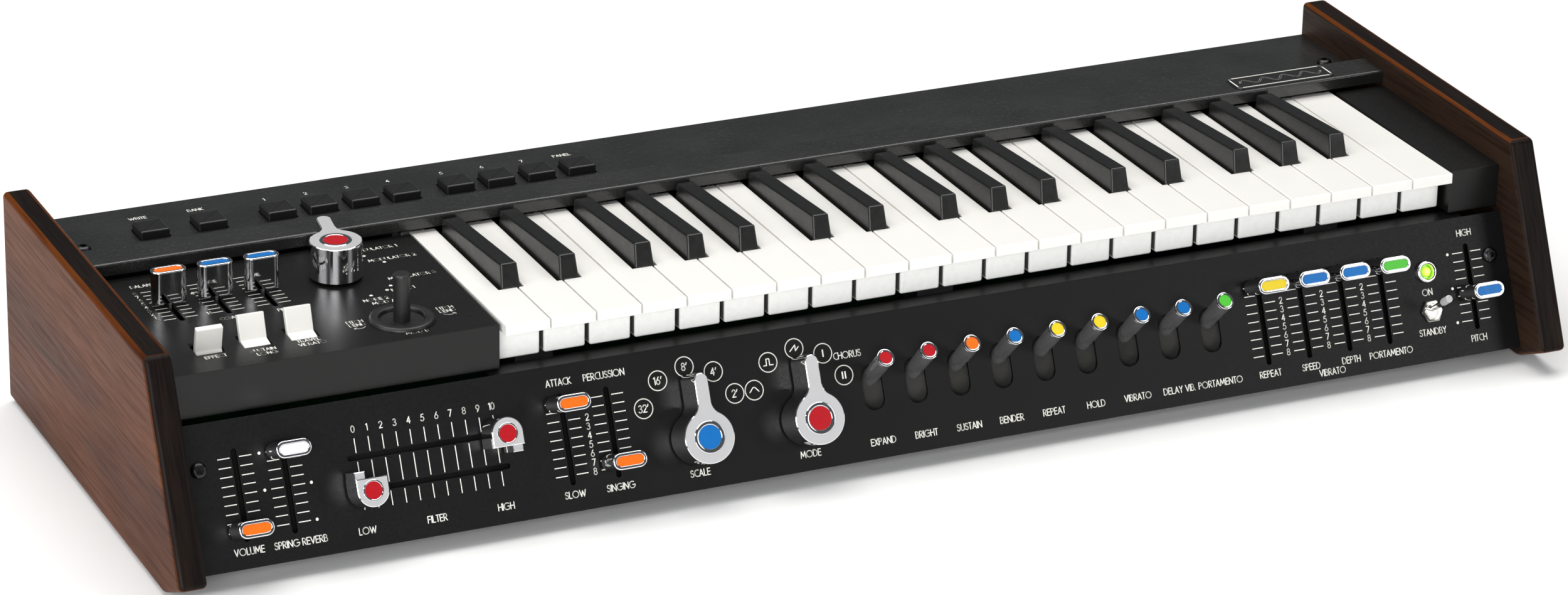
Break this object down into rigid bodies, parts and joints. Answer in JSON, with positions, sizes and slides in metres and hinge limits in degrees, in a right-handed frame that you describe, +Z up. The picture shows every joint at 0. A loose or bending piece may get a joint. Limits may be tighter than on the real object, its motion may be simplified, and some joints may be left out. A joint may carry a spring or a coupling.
{
  "type": "analog synthesizer",
  "caption": "Table-top keyboard synthesizer with wooden cheeks, a slanted control panel in front of the keys, an upper left panel with joystick and a rear cover with preset buttons.",
  "frame": {"origin": "centre of the footprint, on the surface the rubber feet stand on", "axes": "+X to the player's right, +Y to the back, +Z up"},
  "size_m": [0.744, 0.2626, 0.1212],
  "materials": {
    "walnut": "oiled",
    "black_panel": "satin",
    "leatherette": "fine leather grain",
    "steel": "semi-gloss",
    "plated": "polished",
    "screw_black": "black oxide",
    "board": "solder mask",
    "mechanism": "plain",
    "ivory": "glossy",
    "ebony": "satin",
    "cap_metal": "polished with a coloured insert",
    "tab_white": "glossy",
    "black_plastic": "matte",
    "rubber": "matte",
    "bed": "zinc"
  },
  "bodies": {
    "case": {"left_cheek": "walnut", "right_cheek": "walnut", "front_panel": "black_panel", "bottom_pan": "steel", "top_cover": "leatherette", "upper_left_panel": "black_panel", "right_block": "black_panel", "key_frame": "bed", "circuit_boards": "board", "control_mechanisms": "mechanism", "rear_jacks": "black_plastic", "rubber_feet": "rubber", "screws": "screw_black", "trim_fittings": "plated"},
    "key_c": {"key_c": "ivory"},
    "key_d": {"key_d": "ivory"},
    "key_e": {"key_e": "ivory"},
    "key_f": {"key_f": "ivory"},
    "key_g": {"key_g": "ivory"},
    "key_a": {"key_a": "ivory"},
    "key_b": {"key_b": "ivory"},
    "key_c_sharp": {"key_c_sharp": "ebony"},
    "key_d_sharp": {"key_d_sharp": "ebony"},
    "key_f_sharp": {"key_f_sharp": "ebony"},
    "key_g_sharp": {"key_g_sharp": "ebony"},
    "key_a_sharp": {"key_a_sharp": "ebony"},
    "volume_slider": {"volume_slider": "cap_metal"},
    "reverb_slider": {"reverb_slider": "cap_metal"},
    "attack_slider": {"attack_slider": "cap_metal"},
    "percussion_slider": {"percussion_slider": "cap_metal"},
    "repeat_slider": {"repeat_slider": "cap_metal"},
    "vibrato_speed_slider": {"vibrato_speed_slider": "cap_metal"},
    "vibrato_depth_slider": {"vibrato_depth_slider": "cap_metal"},
    "portamento_slider": {"portamento_slider": "cap_metal"},
    "pitch_slider": {"pitch_slider": "cap_metal"},
    "balance_slider": {"balance_slider": "cap_metal"},
    "coarse_tune_slider": {"coarse_tune_slider": "cap_metal"},
    "fine_tune_slider": {"fine_tune_slider": "cap_metal"},
    "filter_low_slider": {"filter_low_slider": "cap_metal"},
    "filter_high_slider": {"filter_high_slider": "cap_metal"},
    "scale_knob": {"scale_knob": "cap_metal"},
    "mode_knob": {"mode_knob": "cap_metal"},
    "modulator_knob": {"modulator_knob": "cap_metal"},
    "expand_lever": {"expand_lever": "cap_metal"},
    "bright_lever": {"bright_lever": "cap_metal"},
    "sustain_lever": {"sustain_lever": "cap_metal"},
    "bender_lever": {"bender_lever": "cap_metal"},
    "repeat_lever": {"repeat_lever": "cap_metal"},
    "hold_lever": {"hold_lever": "cap_metal"},
    "vibrato_lever": {"vibrato_lever": "cap_metal"},
    "delay_vibrato_lever": {"delay_vibrato_lever": "cap_metal"},
    "portamento_lever": {"portamento_lever": "cap_metal"},
    "effect_tab": {"effect_tab": "tab_white"},
    "sustain_tab": {"sustain_tab": "tab_white"},
    "travel_vibrato_tab": {"travel_vibrato_tab": "tab_white"},
    "joystick_gimbal": {"joystick_gimbal": "black_plastic"},
    "joystick_stick": {"joystick_stick": "black_plastic"},
    "memory_buttons": {"memory_buttons": "black_plastic"},
    "preset_buttons": {"preset_buttons": "black_plastic"},
    "power_switch": {"power_switch": "plated"}
  },
  "joints": [
    {"name": "key_c_hinge", "type": "hinge", "parent": "case", "child": "key_c", "pos_m": [0, 0.066, 0.087], "axis": [1, 0, 0], "range_deg": [0, 3.6], "stiffness_Nm_per_rad": 0.6, "springref_deg": -28.65},
    {"name": "key_d_hinge", "type": "hinge", "parent": "case", "child": "key_d", "pos_m": [0, 0.066, 0.087], "axis": [1, 0, 0], "range_deg": [0, 3.6], "stiffness_Nm_per_rad": 0.6, "springref_deg": -28.65},
    {"name": "key_e_hinge", "type": "hinge", "parent": "case", "child": "key_e", "pos_m": [0, 0.066, 0.087], "axis": [1, 0, 0], "range_deg": [0, 3.6], "stiffness_Nm_per_rad": 0.6, "springref_deg": -28.65},
    {"name": "key_f_hinge", "type": "hinge", "parent": "case", "child": "key_f", "pos_m": [0, 0.066, 0.087], "axis": [1, 0, 0], "range_deg": [0, 3.6], "stiffness_Nm_per_rad": 0.6, "springref_deg": -28.65},
    {"name": "key_g_hinge", "type": "hinge", "parent": "case", "child": "key_g", "pos_m": [0, 0.066, 0.087], "axis": [1, 0, 0], "range_deg": [0, 3.6], "stiffness_Nm_per_rad": 0.6, "springref_deg": -28.65},
    {"name": "key_a_hinge", "type": "hinge", "parent": "case", "child": "key_a", "pos_m": [0, 0.066, 0.087], "axis": [1, 0, 0], "range_deg": [0, 3.6], "stiffness_Nm_per_rad": 0.6, "springref_deg": -28.65},
    {"name": "key_b_hinge", "type": "hinge", "parent": "case", "child": "key_b", "pos_m": [0, 0.066, 0.087], "axis": [1, 0, 0], "range_deg": [0, 3.6], "stiffness_Nm_per_rad": 0.6, "springref_deg": -28.65},
    {"name": "key_c_sharp_hinge", "type": "hinge", "parent": "case", "child": "key_c_sharp", "pos_m": [0, 0.066, 0.087], "axis": [1, 0, 0], "range_deg": [0, 3.6], "stiffness_Nm_per_rad": 0.6, "springref_deg": -28.65},
    {"name": "key_d_sharp_hinge", "type": "hinge", "parent": "case", "child": "key_d_sharp", "pos_m": [0, 0.066, 0.087], "axis": [1, 0, 0], "range_deg": [0, 3.6], "stiffness_Nm_per_rad": 0.6, "springref_deg": -28.65},
    {"name": "key_f_sharp_hinge", "type": "hinge", "parent": "case", "child": "key_f_sharp", "pos_m": [0, 0.066, 0.087], "axis": [1, 0, 0], "range_deg": [0, 3.6], "stiffness_Nm_per_rad": 0.6, "springref_deg": -28.65},
    {"name": "key_g_sharp_hinge", "type": "hinge", "parent": "case", "child": "key_g_sharp", "pos_m": [0, 0.066, 0.087], "axis": [1, 0, 0], "range_deg": [0, 3.6], "stiffness_Nm_per_rad": 0.6, "springref_deg": -28.65},
    {"name": "key_a_sharp_hinge", "type": "hinge", "parent": "case", "child": "key_a_sharp", "pos_m": [0, 0.066, 0.087], "axis": [1, 0, 0], "range_deg": [0, 3.6], "stiffness_Nm_per_rad": 0.6, "springref_deg": -28.65},
    {"name": "volume_slider_travel", "type": "slide", "parent": "case", "child": "volume_slider", "axis": [0, 0.4179, 0.9085], "range_m": [-0.0002, 0.034]},
    {"name": "reverb_slider_travel", "type": "slide", "parent": "case", "child": "reverb_slider", "axis": [0, 0.4179, 0.9085], "range_m": [-0.0342, 0]},
    {"name": "attack_slider_travel", "type": "slide", "parent": "case", "child": "attack_slider", "axis": [0, 0.4179, 0.9085], "range_m": [-0.0338, 0.0004]},
    {"name": "percussion_slider_travel", "type": "slide", "parent": "case", "child": "percussion_slider", "axis": [0, 0.4179, 0.9085], "range_m": [-0.0022, 0.032]},
    {"name": "repeat_slider_travel", "type": "slide", "parent": "case", "child": "repeat_slider", "axis": [0, 0.4179, 0.9085], "range_m": [-0.034, 0.0002]},
    {"name": "vibrato_speed_slider_travel", "type": "slide", "parent": "case", "child": "vibrato_speed_slider", "axis": [0, 0.4179, 0.9085], "range_m": [-0.034, 0.0002]},
    {"name": "vibrato_depth_slider_travel", "type": "slide", "parent": "case", "child": "vibrato_depth_slider", "axis": [0, 0.4179, 0.9085], "range_m": [-0.034, 0.0002]},
    {"name": "portamento_slider_travel", "type": "slide", "parent": "case", "child": "portamento_slider", "axis": [0, 0.4179, 0.9085], "range_m": [-0.034, 0.0002]},
    {"name": "pitch_slider_travel", "type": "slide", "parent": "case", "child": "pitch_slider", "axis": [0, 0.4179, 0.9085], "range_m": [-0.0136, 0.0206]},
    {"name": "balance_slider_travel", "type": "slide", "parent": "case", "child": "balance_slider", "axis": [0, 1, 0], "range_m": [-0.0171, 0.0171]},
    {"name": "coarse_tune_slider_travel", "type": "slide", "parent": "case", "child": "coarse_tune_slider", "axis": [0, 1, 0], "range_m": [-0.0171, 0.0171]},
    {"name": "fine_tune_slider_travel", "type": "slide", "parent": "case", "child": "fine_tune_slider", "axis": [0, 1, 0], "range_m": [-0.0171, 0.0171]},
    {"name": "filter_low_slider_travel", "type": "slide", "parent": "case", "child": "filter_low_slider", "axis": [1, 0, 0], "range_m": [0, 0.0702]},
    {"name": "filter_high_slider_travel", "type": "slide", "parent": "case", "child": "filter_high_slider", "axis": [1, 0, 0], "range_m": [-0.0702, 0]},
    {"name": "scale_knob_turn", "type": "hinge", "parent": "case", "child": "scale_knob", "pos_m": [-0.0997, -0.10064, 0.032], "axis": [0, -0.9085, 0.4179], "range_deg": [-60, 60]},
    {"name": "mode_knob_turn", "type": "hinge", "parent": "case", "child": "mode_knob", "pos_m": [-0.0415, -0.10064, 0.032], "axis": [0, -0.9085, 0.4179], "range_deg": [-60, 60]},
    {"name": "modulator_knob_turn", "type": "hinge", "parent": "case", "child": "modulator_knob", "pos_m": [-0.244, 0.0048, 0.0972], "axis": [0, 0, 1], "range_deg": [-60, 60]},
    {"name": "expand_lever_tilt", "type": "hinge", "parent": "case", "child": "expand_lever", "pos_m": [-0.0033, -0.08292, 0.03463], "axis": [1, 0, 0], "range_deg": [0, 42]},
    {"name": "bright_lever_tilt", "type": "hinge", "parent": "case", "child": "bright_lever", "pos_m": [0.02005, -0.08292, 0.03463], "axis": [1, 0, 0], "range_deg": [0, 42]},
    {"name": "sustain_lever_tilt", "type": "hinge", "parent": "case", "child": "sustain_lever", "pos_m": [0.0434, -0.08292, 0.03463], "axis": [1, 0, 0], "range_deg": [0, 42]},
    {"name": "bender_lever_tilt", "type": "hinge", "parent": "case", "child": "bender_lever", "pos_m": [0.06675, -0.08292, 0.03463], "axis": [1, 0, 0], "range_deg": [0, 42]},
    {"name": "repeat_lever_tilt", "type": "hinge", "parent": "case", "child": "repeat_lever", "pos_m": [0.0901, -0.08292, 0.03463], "axis": [1, 0, 0], "range_deg": [0, 42]},
    {"name": "hold_lever_tilt", "type": "hinge", "parent": "case", "child": "hold_lever", "pos_m": [0.11345, -0.08292, 0.03463], "axis": [1, 0, 0], "range_deg": [0, 42]},
    {"name": "vibrato_lever_tilt", "type": "hinge", "parent": "case", "child": "vibrato_lever", "pos_m": [0.1368, -0.08292, 0.03463], "axis": [1, 0, 0], "range_deg": [0, 42]},
    {"name": "delay_vibrato_lever_tilt", "type": "hinge", "parent": "case", "child": "delay_vibrato_lever", "pos_m": [0.16015, -0.08292, 0.03463], "axis": [1, 0, 0], "range_deg": [0, 42]},
    {"name": "portamento_lever_tilt", "type": "hinge", "parent": "case", "child": "portamento_lever", "pos_m": [0.1835, -0.08292, 0.03463], "axis": [1, 0, 0], "range_deg": [0, 42]},
    {"name": "effect_tab_rock", "type": "hinge", "parent": "case", "child": "effect_tab", "pos_m": [-0.3292, -0.0514, 0.0922], "axis": [1, 0, 0], "range_deg": [-32.4, 0]},
    {"name": "sustain_tab_rock", "type": "hinge", "parent": "case", "child": "sustain_tab", "pos_m": [-0.3058, -0.0514, 0.0922], "axis": [1, 0, 0], "range_deg": [0, 32.4]},
    {"name": "travel_vibrato_tab_rock", "type": "hinge", "parent": "case", "child": "travel_vibrato_tab", "pos_m": [-0.2824, -0.0514, 0.0922], "axis": [1, 0, 0], "range_deg": [0, 32.4]},
    {"name": "joystick_gimbal_sway", "type": "hinge", "parent": "case", "child": "joystick_gimbal", "pos_m": [-0.2327, -0.0548, 0.0852], "axis": [0, 1, 0], "range_deg": [-17, 17], "stiffness_Nm_per_rad": 0.03},
    {"name": "joystick_stick_nod", "type": "hinge", "parent": "joystick_gimbal", "child": "joystick_stick", "pos_m": [-0.2327, -0.0548, 0.0852], "axis": [1, 0, 0], "range_deg": [-17, 17], "stiffness_Nm_per_rad": 0.03},
    {"name": "memory_buttons_press", "type": "slide", "parent": "case", "child": "memory_buttons", "axis": [0, -0.023, -0.9997], "range_m": [0, 0.0018], "stiffness_N_per_m": 900, "springref_m": -0.001},
    {"name": "preset_buttons_press", "type": "slide", "parent": "case", "child": "preset_buttons", "axis": [0, -0.023, -0.9997], "range_m": [0, 0.0018], "stiffness_N_per_m": 900, "springref_m": -0.001},
    {"name": "power_switch_throw", "type": "hinge", "parent": "case", "child": "power_switch", "pos_m": [0.3095, -0.09771, 0.0312], "axis": [1, 0, 0], "range_deg": [0, 26]}
  ]
}
